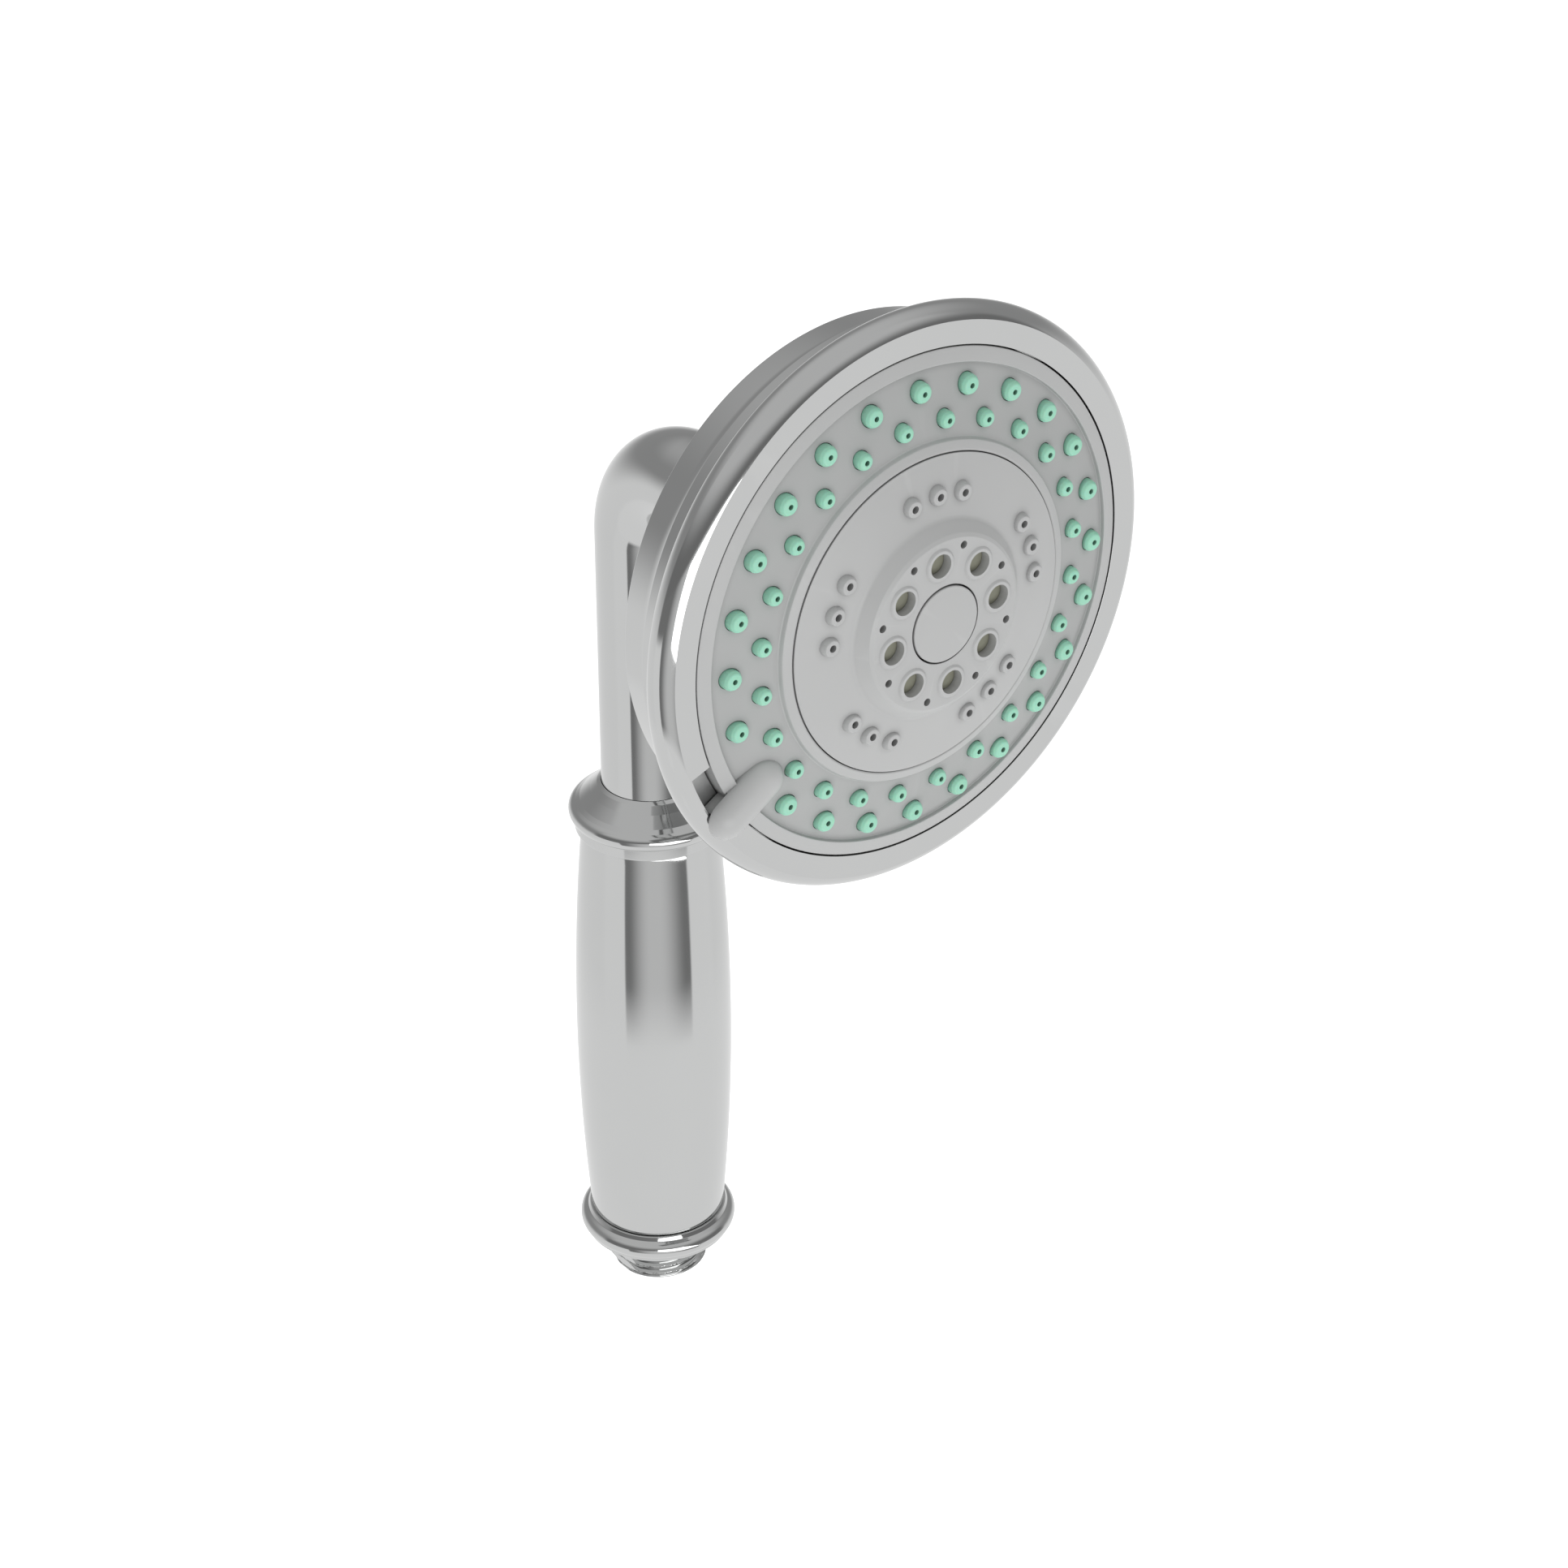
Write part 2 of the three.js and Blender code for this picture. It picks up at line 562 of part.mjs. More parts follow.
const assembly = new THREE.Group();
assembly.name = 'handheld_shower_head';
for (const [name, make, material] of PIECES) {
  const mesh = new THREE.Mesh(geometryOf(make()), material);
  mesh.name = name;
  assembly.add(mesh);
}

export default assembly;
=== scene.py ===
"""Handheld shower head: fine surfaces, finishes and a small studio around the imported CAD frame.

Lengths are in millimetres until a mesh is made. Handle pieces are turned about Z. Head pieces are
turned in head coordinates (clock angle 0 at the top, growing towards +X, z forward from the grip
axis) and then stood up with ON_HEAD.
"""

import json
import math

import bmesh
import bpy
from mathutils import Matrix, Vector


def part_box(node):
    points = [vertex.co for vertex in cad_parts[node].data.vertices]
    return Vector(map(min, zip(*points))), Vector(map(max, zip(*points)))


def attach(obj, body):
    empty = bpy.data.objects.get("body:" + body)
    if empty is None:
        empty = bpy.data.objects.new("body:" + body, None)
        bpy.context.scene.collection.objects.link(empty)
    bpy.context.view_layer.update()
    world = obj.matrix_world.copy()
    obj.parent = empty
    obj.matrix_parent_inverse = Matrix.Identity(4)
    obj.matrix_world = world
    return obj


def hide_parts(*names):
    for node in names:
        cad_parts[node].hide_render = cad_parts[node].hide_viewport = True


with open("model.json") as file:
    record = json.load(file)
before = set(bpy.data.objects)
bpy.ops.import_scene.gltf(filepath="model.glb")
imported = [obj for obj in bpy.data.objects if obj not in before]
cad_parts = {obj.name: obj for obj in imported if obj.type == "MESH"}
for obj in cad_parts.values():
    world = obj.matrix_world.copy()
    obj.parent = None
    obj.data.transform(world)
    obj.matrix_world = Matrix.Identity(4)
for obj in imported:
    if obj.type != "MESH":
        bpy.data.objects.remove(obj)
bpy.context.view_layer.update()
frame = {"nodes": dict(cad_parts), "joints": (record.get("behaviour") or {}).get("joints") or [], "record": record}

# ---------------------------------------------------------------- sizes
MM = 0.001
SEGMENTS = 192
SHARP_ANGLE = math.radians(18)  # edges above this show as creases
TOUCH = 0.02  # slack when faces are picked by where they lie


def box_mm(cad_node):
    """Lowest and highest corner of a CAD node in millimetres."""
    lo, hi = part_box(cad_node)
    return lo / MM, hi / MM


# what the frame itself gives
joints = {joint["name"]: joint for joint in frame["joints"]}
HEAD_Z = joints["face_turn"]["pos_m"][2] / MM

grip_lo, grip_hi = box_mm("grip_sleeve")
GRIP_BOTTOM, GRIP_TOP = grip_lo.z, grip_hi.z
GRIP_MAX_R = 16.17
GRIP_MAX_Z = 61.2
GRIP_CURVE = 0.000948
GRIP_WALL = 2.0

COLLAR_BOTTOM = box_mm("lower_collar")[0].z
THREAD_MAJOR_R = 10.48
THREAD_MINOR_R = 9.32
THREAD_PITCH = 1.814
THREAD_LENGTH = 8.1
THREAD_FLAT_X = 9.45
SHANK_R = 10.5
INLET_BORE_R = 7.0

neck_lo, neck_hi = box_mm("neck_elbow")
NECK_R = neck_hi.x
NECK_BORE_R = NECK_R - 1.7
NECK_BOTTOM = neck_lo.z
NECK_END = -neck_lo.y
BEND_R = 16.2

SHELL_BACK = -box_mm("back_shell")[1].y
SHELL_R = 49.4
SHELL_EDGE = 60.3
DOME_R = 97.1
DOME_APEX = 46.8
SHELL_WALL = 1.7

bezel_lo, bezel_hi = box_mm("bezel_ring")
BEZEL_FRONT = -bezel_lo.y
BEZEL_BORE_R = 48.95
BEZEL_SHOULDER = 71.5
BEAD_R = 3.14
BEAD_CENTRE_R = bezel_hi.x - BEAD_R
BEAD_CENTRE = 76.4
BEAD_TURN = 25  # degrees from the radial direction, where the bead's curve flattens
BEAD_FRONT_R = 4.36
BEAD_CREASE = 68  # degrees from the radial direction, where the bead meets the flat front
NOTCH_FLOOR = 77.0
NOTCH_R = 53.1
NOTCH_PLAY = 0.3

FACE_R = 48.65
BORDER_R = 45.7
RECESS_EDGE = 79.6
RECESS_SLOPE = 2.8 / 12.5
LIP_R = 32.6
SEAM_R = 30.52
HUB_R = 17.1
HUB_TOP = 88.75
HUB_WALL_BACK = 87.1
CAP_R = 7.35
CAP_FRONT = -box_mm("center_cap")[0].y

RAIN_COUNT = 24
TIP_RISE = 1.7
PLATE_WALL = 1.6
JET_R = 23.8
JET_HOLE_R = 0.72
MASSAGE_COUNT = 8
MASSAGE_R = 12.2
MASSAGE_HOLE_R = 2.3
MASSAGE_PHASE = -7.5
MIST_R = 15.0
MIST_HOLE_R = 0.75
MIST_PHASE = 15

LEVER_ANGLE = 237
LEVER_TRAVEL = joints["face_turn"]["range_deg"][1]
LEVER_ROOT_HALF = 3.2  # degrees
LEVER_HALF = 4.0
LEVER_TIP_R = 55.0
LEVER_INNER_R = 37.4
LEVER_RISE = 3.6
LEVER_CENTRE = 80.1
LEVER_UNDERSIDE = 80.25
NOTCH_START = LEVER_ANGLE - LEVER_ROOT_HALF - NOTCH_PLAY
NOTCH_STOP = LEVER_ANGLE + LEVER_ROOT_HALF + LEVER_TRAVEL + NOTCH_PLAY

CLEAR = 90  # in front of everything on the head

ON_HEAD = Matrix.Translation((0, 0, HEAD_Z)) @ Matrix.Rotation(math.radians(90), 4, "X")


# ---------------------------------------------------------------- profiles
def arc(r, z, radius, start, stop, steps=16):
    """Points of an arc in a profile, angles in degrees from the radial direction."""
    angles = [math.radians(start + (stop - start) * k / steps) for k in range(steps + 1)]
    return [(r + radius * math.cos(a), z + radius * math.sin(a)) for a in angles]


def softened(corners, steps=8):
    """Rounds each corner that is written (r, z, radius); the others stay sharp."""
    points = []
    count = len(corners)
    for k, corner in enumerate(corners):
        here = Vector(corner[:2])
        if len(corner) == 2:
            points.append(tuple(here))
            continue
        to_last = Vector(corners[k - 1][:2]) - here
        to_next = Vector(corners[(k + 1) % count][:2]) - here
        reach = corner[2] / math.tan(to_last.angle(to_next) / 2)
        reach = min(reach, 0.48 * to_last.length, 0.48 * to_next.length)
        start = here + to_last.normalized() * reach
        stop = here + to_next.normalized() * reach
        for step in range(steps + 1):
            t = step / steps
            point = (1 - t) ** 2 * start + 2 * t * (1 - t) * here + t**2 * stop
            points.append(tuple(point))
    return points


def divided(start, stop, steps):
    """Points from start to stop, both ends included."""
    a, b = Vector(start), Vector(stop)
    return [tuple(a.lerp(b, k / steps)) for k in range(steps + 1)]


# ---------------------------------------------------------------- meshes
def bridge(bm, lower, upper):
    """Faces between two rings; a ring of one vertex is a pole."""
    count = max(len(lower), len(upper))
    for k in range(count):
        n = (k + 1) % count
        corners = [
            lower[k % len(lower)],
            lower[n % len(lower)],
            upper[n % len(upper)],
            upper[k % len(upper)],
        ]
        bm.faces.new(list(dict.fromkeys(corners)))


def add_lathe(bm, profile, segments=SEGMENTS, place=Matrix.Identity(4), reshape=None):
    """Adds a turned solid; the profile closes on the axis or on itself."""
    rings = []
    for r, z in profile:
        count = 1 if r < 1e-6 else segments
        ring = []
        for k in range(count):
            a = 2 * math.pi * k / count
            point = Vector((r * math.cos(a), r * math.sin(a), z))
            if reshape:
                point = reshape(point)
            ring.append(bm.verts.new(place @ point))
        rings.append(ring)
    if len(rings[0]) > 1:
        rings.append(rings[0])
    for lower, upper in zip(rings, rings[1:]):
        bridge(bm, lower, upper)


def mesh_object(name, bm, place=Matrix.Identity(4)):
    """Turns a mesh in millimetres into an object in metres, in the part frame."""
    bmesh.ops.recalc_face_normals(bm, faces=bm.faces)
    bm.transform(Matrix.Scale(MM, 4) @ place)
    mesh = bpy.data.meshes.new(name)
    bm.to_mesh(mesh)
    bm.free()
    made = bpy.data.objects.new(name, mesh)
    bpy.context.scene.collection.objects.link(made)
    return made


def turned(name, profile, place=Matrix.Identity(4), segments=SEGMENTS, reshape=None):
    bm = bmesh.new()
    add_lathe(bm, profile, segments, reshape=reshape)
    return mesh_object(name, bm, place)


def at_clock(r, angle, z=0.0):
    """Head coordinates of a point at a radius and a clock angle."""
    a = math.radians(angle)
    return Matrix.Translation((r * math.sin(a), r * math.cos(a), z))


def clocks(count, phase=0.0):
    """Evenly spaced clock angles in degrees."""
    return [phase + 360 * k / count for k in range(count)]


def wedge(bm, start, stop, r0, r1, z0, z1, steps=24):
    """Adds a block between two clock angles and two radii."""
    angles = [math.radians(start + (stop - start) * k / steps) for k in range(steps + 1)]
    outline = [(r1 * math.sin(a), r1 * math.cos(a)) for a in angles]
    outline += [(r0 * math.sin(a), r0 * math.cos(a)) for a in reversed(angles)]
    lower = [bm.verts.new((x, y, z0)) for x, y in outline]
    upper = [bm.verts.new((x, y, z1)) for x, y in outline]
    bm.faces.new(lower)
    bm.faces.new(upper)
    bridge(bm, lower, upper)


def combined(base, tool, operation):
    """Joins or cuts base with tool, and removes tool."""
    modifier = base.modifiers.new("shape", "BOOLEAN")
    modifier.operation = operation
    modifier.solver = "EXACT"
    modifier.object = tool
    bpy.context.view_layer.update()
    graph = bpy.context.evaluated_depsgraph_get()
    result = bpy.data.meshes.new_from_object(base.evaluated_get(graph))
    base.modifiers.clear()
    base.data = result
    bpy.data.objects.remove(tool)
    return base


# ---------------------------------------------------------------- finishes
def node(tree, kind, inputs=None, **settings):
    """One shader node with its settings and linked or plain inputs."""
    made = tree.nodes.new(kind)
    for key, value in settings.items():
        setattr(made, key, value)
    for key, value in (inputs or {}).items():
        if isinstance(value, bpy.types.NodeSocket):
            tree.links.new(value, made.inputs[key])
        else:
            made.inputs[key].default_value = value
    return made


CLOUD_SCALE = 70.0  # colour clouds, in noise cells per metre
PATCH_SCALE = 160.0  # worn and duller patches, in noise cells per metre
EDGE_FROM, EDGE_TO = 0.53, 0.62  # pointiness where wear begins and where it is full
GLOSS_SPREAD = 0.15
RELIEF_DEPTH = 0.0002
PAINTED_SHADE_REACH = 0.0014  # how near a wall has to be for the painted shade to darken a surface


def shade(colour, factor):
    """The colour made darker or lighter, as RGBA."""
    return [min(1.0, c * factor) for c in colour] + [1.0]


MIX_SOCKETS = {"FLOAT": (2, 3, 0), "RGBA": (6, 7, 2)}  # two inputs and the output


def mixed(tree, factor, first, second, kind="RGBA"):
    """A mix whose two sides are each a plain value or a linked output."""
    a, b, out = MIX_SOCKETS[kind]
    inputs = {"Factor": factor, a: first, b: second}
    return node(tree, "ShaderNodeMix", inputs, data_type=kind).outputs[out]


def noise(tree, place, scale, detail):
    inputs = {"Vector": place, "Scale": scale, "Detail": detail}
    return node(tree, "ShaderNodeTexNoise", inputs).outputs["Fac"]


def finish(
    name,
    colour,
    roughness,
    metallic=0.0,
    grain=600.0,
    mottle=0.04,
    wear=1.12,
    bump=0.02,
    scatter=0.0,
    painted_hole_shade=1.0,
):
    """Procedural finish: mottled colour, uneven gloss, fine grain, rubbed edges, painted shade in holes."""
    material = bpy.data.materials.new(name)
    material.use_nodes = True
    tree = material.node_tree
    shader = tree.nodes["Principled BSDF"]
    place = node(tree, "ShaderNodeTexCoord").outputs["Object"]

    clouds = noise(tree, place, CLOUD_SCALE, 3.0)
    base = mixed(tree, clouds, shade(colour, 1 - mottle), shade(colour, 1 + mottle))

    pointiness = node(tree, "ShaderNodeNewGeometry").outputs["Pointiness"]
    limits = {"From Min": EDGE_FROM, "From Max": EDGE_TO}
    convex = node(tree, "ShaderNodeMapRange", {"Value": pointiness, **limits})
    patches = noise(tree, place, PATCH_SCALE, 2.0)
    rubbed = node(
        tree, "ShaderNodeMath", {0: convex.outputs["Result"], 1: patches}, operation="MULTIPLY"
    )
    shown = mixed(tree, rubbed.outputs["Value"], base, shade(colour, wear))

    # Painted shade: near walls, in holes and joints, the colour is mixed towards a darker copy of itself by
    # ambient occlusion.
    if painted_hole_shade < 1:
        painted_shade_ao = node(
            tree, "ShaderNodeAmbientOcclusion", {"Distance": PAINTED_SHADE_REACH}, samples=4
        )
        shown = mixed(tree, painted_shade_ao.outputs["AO"], shade(colour, painted_hole_shade), shown)
    tree.links.new(shown, shader.inputs["Base Color"])

    gloss = node(
        tree,
        "ShaderNodeMapRange",
        {
            "Value": patches,
            "From Min": 0.3,
            "From Max": 0.7,
            "To Min": roughness * (1 - GLOSS_SPREAD),
            "To Max": roughness * (1 + GLOSS_SPREAD),
        },
    )
    tree.links.new(gloss.outputs["Result"], shader.inputs["Roughness"])

    height = noise(tree, place, grain, 2.0)
    relief = node(
        tree,
        "ShaderNodeBump",
        {"Height": height, "Strength": bump, "Distance": RELIEF_DEPTH},
    )
    tree.links.new(relief.outputs["Normal"], shader.inputs["Normal"])
    shader.inputs["Metallic"].default_value = metallic
    shader.inputs["Subsurface Weight"].default_value = scatter
    shader.inputs["Subsurface Scale"].default_value = MM
    return material


# Finishes given a factor below 1 for holes get painted shade there: near walls their colour is darkened by that
# factor.
FINISHES = {
    "chrome": finish(
        "chrome", (0.575, 0.580, 0.578), 0.07, 1.0, mottle=0.012, wear=1.05, bump=0.004
    ),
    "dull_chrome": finish(
        "dull_chrome", (0.50, 0.505, 0.503), 0.42, 1.0, mottle=0.03, wear=1.05
    ),
    "brass": finish("brass", (0.62, 0.46, 0.20), 0.32, 1.0, mottle=0.08),
    "steel": finish("steel", (0.50, 0.51, 0.52), 0.28, 1.0, grain=900.0),
    "satin_plastic": finish(
        "satin_plastic", (0.545, 0.55, 0.548), 0.42, mottle=0.02, wear=1.06, painted_hole_shade=0.35
    ),
    "etched_plastic": finish(
        "etched_plastic", (0.475, 0.48, 0.478), 0.6, mottle=0.05, wear=1.04, painted_hole_shade=0.5
    ),
    "mint_silicone": finish(
        "mint_silicone", (0.39, 0.79, 0.60), 0.5, mottle=0.05, scatter=0.1, painted_hole_shade=0.3
    ),
    "white_plastic": finish("white_plastic", (0.78, 0.76, 0.70), 0.45),
    "grey_plastic": finish("grey_plastic", (0.30, 0.30, 0.235), 0.5, painted_hole_shade=0.8),
    "black_rubber": finish("black_rubber", (0.022, 0.023, 0.024), 0.75),
}
SLOT_OF = {row["node"]: row["material_slot"] for row in frame["record"]["subparts"]}
BODY_OF = {
    cad_node: body
    for body, members in frame["record"]["behaviour"]["bodies"].items()
    for cad_node in members
}


def on_clock(face):
    """Radius, clock angle and forward distance of a face's centre, in head coordinates."""
    x, y, z = face.center / MM
    angle = math.degrees(math.atan2(x, z - HEAD_Z)) % 360
    return math.hypot(x, z - HEAD_Z), angle, -y


def leave_dull(ring):
    """Gives the walls and the floor of the lever's notch their unpolished surface."""
    ring.data.materials.append(FINISHES["dull_chrome"])
    for face in ring.data.polygons:
        r, angle, forward = on_clock(face)
        within = NOTCH_START - TOUCH < angle < NOTCH_STOP + TOUCH
        between = BEZEL_BORE_R - TOUCH < r < NOTCH_R + TOUCH
        if within and between and NOTCH_FLOOR - TOUCH < forward < BEZEL_FRONT:
            face.material_index = 1


def etch(plate):
    """Gives the floor of the recessed ring its finer, duller texture."""
    plate.data.materials.append(FINISHES["etched_plastic"])
    for face in plate.data.polygons:
        r, _, forward = on_clock(face)
        on_floor = abs(forward - recess(r)) < 0.12 and face.normal.y < -0.9
        if on_floor and LIP_R < r < BORDER_R:
            face.material_index = 1


SECOND_FINISH = {"bezel_ring": leave_dull, "face_plate": etch}


def settle(piece, cad_node):
    """Smooths a finished piece and hands it to the frame in place of its CAD node."""
    piece.data.shade_smooth()
    piece.data.set_sharp_from_angle(angle=SHARP_ANGLE)
    piece.data.materials.clear()
    slot = SLOT_OF[cad_node]
    piece.data.materials.append(FINISHES[slot])
    if cad_node in SECOND_FINISH:
        SECOND_FINISH[cad_node](piece)
    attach(piece, BODY_OF[cad_node])
    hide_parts(cad_node)


# ---------------------------------------------------------------- handle
def threaded(point):
    """Winds the thread's ridge onto the turned blank and planes its two flats."""
    r = math.hypot(point.x, point.y)
    if r < THREAD_MINOR_R - 0.4 or point.z > THREAD_LENGTH:
        return point
    angle = math.atan2(point.y, point.x)
    turn = (point.z / THREAD_PITCH - angle / (2 * math.pi)) % 1.0
    ridge = max(0.0, 1 - abs(turn - 0.5) / 0.43) ** 0.8
    lead = min(1.0, point.z / 0.9, (THREAD_LENGTH - point.z) / 0.5)
    crest = (THREAD_MAJOR_R - THREAD_MINOR_R) * ridge * max(0.0, lead)
    grown = Vector((point.x, point.y, 0)) * ((r + crest) / r)
    x = grown.x
    if point.z < THREAD_LENGTH - 0.6:
        x = max(-THREAD_FLAT_X, min(THREAD_FLAT_X, grown.x))
    return Vector((x, grown.y, point.z))


def inlet_fitting():
    lo, hi = box_mm("inlet_fitting")
    rows = 96
    thread = divided((THREAD_MINOR_R, 0.35), (THREAD_MINOR_R, THREAD_LENGTH), rows)
    corners = [(INLET_BORE_R, lo.z, 0.3), (THREAD_MINOR_R - 0.25, lo.z)]
    corners += thread + [(SHANK_R, THREAD_LENGTH), (SHANK_R, hi.z), (8.0, hi.z), (8.0, 19.6)]
    corners += [(5.4, 19.6), (5.4, 17.0), (INLET_BORE_R, 17.0)]
    return turned("inlet_fitting_chromed", softened(corners), reshape=threaded)


def lower_collar():
    corners = [(10.9, COLLAR_BOTTOM, 0.2), (14.4, COLLAR_BOTTOM, 0.3), (15.5, 9.2, 0.5)]
    corners += arc(14.35, 11.7, 2.2, -55, 62, 28)
    shelf = GRIP_BOTTOM - 0.12
    corners += [(14.95, 13.9, 0.3), (14.5, shelf, 0.25), (11.7, shelf), (11.7, 18.5), (10.9, 18.5)]
    return turned("lower_collar_turned", softened(corners))


def grip_radius(z):
    """The grip's barrel, widest a little below its middle."""
    return GRIP_MAX_R - GRIP_CURVE * (z - GRIP_MAX_Z) ** 2


def grip_sleeve():
    rows = 72
    span = GRIP_TOP - GRIP_BOTTOM
    heights = [GRIP_BOTTOM + 0.5 + (span - 1) * k / rows for k in range(rows + 1)]
    outer = [(grip_radius(z), z) for z in heights]
    inner = [(grip_radius(z) - GRIP_WALL, z) for z in heights[::6]]
    low, high = grip_radius(GRIP_BOTTOM), grip_radius(GRIP_TOP)
    foot = [(low - GRIP_WALL, GRIP_BOTTOM), (low - 0.05, GRIP_BOTTOM, 0.3)]
    top = [(high - 0.05, GRIP_TOP, 0.3), (high - GRIP_WALL, GRIP_TOP)]
    return turned("grip_sleeve_polished", softened(foot + outer + top + inner[::-1]))


def upper_collar():
    corners = [(NECK_R + 0.08, 119.5), (10.1, 119.0), (10.1, 104.8), (11.6, 104.8)]
    corners += [(11.6, 109.1), (15.3, 109.1, 0.3)]
    corners += [(15.3, 111.4, 0.1)] + arc(14.6, 113.2, 1.9, -56, 58, 24)
    corners += [(15.1, 115.1, 0.2), (14.2, 115.75, 0.5), (12.0, 117.8, 1.0)]
    corners += [(10.6, 119.2, 0.6), (NECK_R + 0.08, 119.8, 0.1)]
    return turned("upper_collar_turned", softened(corners))


def neck_elbow():
    """A bent tube: stem up the grip axis, quarter bend, reach into the back of the head."""
    rise = HEAD_Z - BEND_R
    stations = [(Vector((0, 0, z)), 0.0) for z in (NECK_BOTTOM, NECK_BOTTOM + 30, rise)]
    bends = 40
    for k in range(1, bends + 1):
        a = math.pi / 2 * k / bends
        centre = Vector((0, -BEND_R, rise))
        stations.append((centre + BEND_R * Vector((0, math.cos(a), math.sin(a))), a))
    stations.append((Vector((0, -NECK_END, HEAD_Z)), math.pi / 2))
    bm = bmesh.new()
    segments = 96

    def ring(radius, centre, lean):
        made = []
        for k in range(segments):
            a = 2 * math.pi * k / segments
            flat = Vector((radius * math.cos(a), radius * math.sin(a), 0))
            made.append(bm.verts.new(centre + Matrix.Rotation(lean, 3, "X") @ flat))
        return made

    rings = [ring(NECK_R, *station) for station in stations]
    rings += [ring(NECK_BORE_R, *station) for station in reversed(stations)]
    for lower, upper in zip(rings, rings[1:] + rings[:1]):
        bridge(bm, lower, upper)
    return mesh_object("neck_elbow_bent", bm)


# ---------------------------------------------------------------- head, fixed pieces
def dome(r):
    """Back surface of the shell at a radius, in head coordinates."""
    return DOME_APEX + DOME_R - math.sqrt(DOME_R**2 - r**2)


def back_shell():
    outer = [(r, dome(r)) for r in (13.6, 18, 24, 30, 36, 42, 46)]
    inner = [(r, dome(r) + SHELL_WALL) for r in (47.8, 40, 32, 24, 15)]
    corners = [(10.1, SHELL_BACK), (13.0, SHELL_BACK, 0.6), (13.0, 47.0, 0.4)] + outer
    corners += [(SHELL_R, SHELL_EDGE, 0.3)] + arc(SHELL_R + 4.5, 64.8, 4.5, 180, 115, 16)
    corners += [(52.0, 71.2), (47.8, 71.2)] + inner + [(10.1, dome(15) + SHELL_WALL)]
    return turned("back_shell_polished", softened(corners), ON_HEAD)


def bezel_ring():
    corners = [(BEZEL_BORE_R, BEZEL_FRONT, 0.05), (BEZEL_BORE_R, 72.0)]
    corners += [(45.9, 72.0), (45.9, 65.5), (47.4, 65.5), (47.4, BEZEL_SHOULDER)]
    corners += [(52.0, BEZEL_SHOULDER), (52.3, 72.5, 0.6), (53.3, 73.3, 0.8)]
    corners += arc(BEAD_CENTRE_R, BEAD_CENTRE, BEAD_R, -60, BEAD_TURN, 28)
    flatter = BEAD_FRONT_R - BEAD_R
    turn = math.radians(BEAD_TURN)
    front = (BEAD_CENTRE_R - flatter * math.cos(turn), BEAD_CENTRE - flatter * math.sin(turn))
    corners += arc(*front, BEAD_FRONT_R, BEAD_TURN, BEAD_CREASE, 16)[1:]
    ring = turned("bezel_ring_polished", softened(corners), ON_HEAD)
    bm = bmesh.new()
    wedge(bm, NOTCH_START, NOTCH_STOP, 47.9, NOTCH_R, NOTCH_FLOOR, CLEAR)
    return combined(ring, mesh_object("notch", bm, ON_HEAD), "DIFFERENCE")


# ---------------------------------------------------------------- head, turning pieces
def recess(r):
    """Front surface of the recessed ring between the light border and the inner lip."""
    return RECESS_EDGE + RECESS_SLOPE * (BORDER_R - r)


def under_lever(angle):
    return abs(angle - LEVER_ANGLE) < 5


RAIN_ROWS = [
    (42.0, 1.95, [a for a in clocks(RAIN_COUNT) if not under_lever(a)]),
    (36.4, 1.65, clocks(RAIN_COUNT, 7.5)),
]


def face_blank():
    profile = softened(
        [
            (FACE_R, 72.4),
            (FACE_R, 79.85, 0.25),
            (FACE_R - 0.3, 79.93),
            (45.9, 80.46, 0.2),
            (BORDER_R, RECESS_EDGE, 0.25),
            (LIP_R + 0.35, recess(LIP_R + 0.35), 0.5),
            (LIP_R, 83.3, 0.35),
            (31.0, 83.85, 0.5),
            (30.7, 83.7, 0.1),
            (30.7, 80.9),
            (33.0, recess(33) - PLATE_WALL),
            (45.4, recess(45.4) - PLATE_WALL),
            (46.9, 77.6),
            (46.9, 72.4),
        ]
    )
    return turned("face_plate_moulded", profile, ON_HEAD, 240)


def lever_tool():
    """Rounded thumb lever along its clock angle; the root that crosses the window is added in face_plate."""
    bm = bmesh.new()
    middle = (LEVER_INNER_R + LEVER_TIP_R) / 2
    straight = (LEVER_TIP_R - LEVER_INNER_R) / 2 - LEVER_HALF
    steps = 14
    profile = [(max(0.0, r), z) for r, z in arc(0, straight, LEVER_HALF, 90, 0, steps)]
    profile += [(r, -z) for r, z in reversed(profile)]
    profile = [(0.0, z) if r < 1e-6 else (r, z) for r, z in profile]
    along = Matrix.Rotation(math.radians(90), 4, "X")
    flatten = Matrix.Diagonal((1, 1, LEVER_RISE / LEVER_HALF, 1))
    swing = Matrix.Rotation(math.radians(-LEVER_ANGLE), 4, "Z")
    stand = swing @ Matrix.Translation((0, middle, LEVER_CENTRE)) @ flatten @ along
    add_lathe(bm, profile, 64, stand)
    return mesh_object("lever", bm, ON_HEAD)


def above_face():
    """Everything in front of the plate, so that the lever's underside follows it."""
    corners = [
        (0.0, recess(30) - 0.8),
        (30.0, recess(30) - 0.8),
        (BORDER_R, recess(BORDER_R) - 0.8),
        (48.2, 78.9),
        (48.2, LEVER_UNDERSIDE),
        (60.0, LEVER_UNDERSIDE),
        (60.0, CLEAR),
        (0.0, CLEAR),
    ]
    return turned("above", corners, ON_HEAD, 240)


